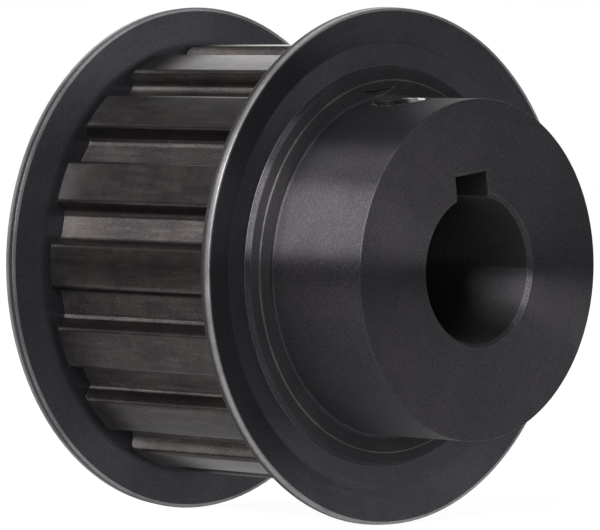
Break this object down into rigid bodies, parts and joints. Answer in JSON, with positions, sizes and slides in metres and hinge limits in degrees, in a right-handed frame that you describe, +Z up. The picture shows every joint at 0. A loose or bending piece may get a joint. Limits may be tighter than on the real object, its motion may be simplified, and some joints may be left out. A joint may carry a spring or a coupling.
{
  "type": "timing belt pulley",
  "caption": "Flanged timing belt pulley with trapezoidal teeth, a hub on one side, a keyed bore and a set screw over the keyway.",
  "frame": {"origin": "on the shaft axis, midway between the flanges, where the middle of the belt runs", "axes": "+Y along the shaft axis, away from the hub, so the hub faces -Y; +Z up, through the middle of a tooth; the keyway is 6.4 degrees from +Z towards -X"},
  "size_m": [0.056, 0.0444, 0.056],
  "materials": {
    "body_oxide_steel": "turned and hobbed steel with a black oxide finish, satin with fine turning marks",
    "flange_oxide_steel": "pressed sheet steel with a smooth, slightly bluish black oxide finish",
    "screw_oxide_steel": "alloy steel with a dark, oily black oxide finish"
  },
  "bodies": {
    "pulley": {"pulley_body": "body_oxide_steel", "hub_side_flange": "flange_oxide_steel", "rear_flange": "flange_oxide_steel"},
    "screw": {"set_screw": "screw_oxide_steel"}
  },
  "joints": [
    {"name": "set_screw_travel", "type": "slide", "parent": "pulley", "child": "screw", "axis": [-0.1115, 0, 0.9938], "range_m": [-0.00038, 0.00358]}
  ]
}
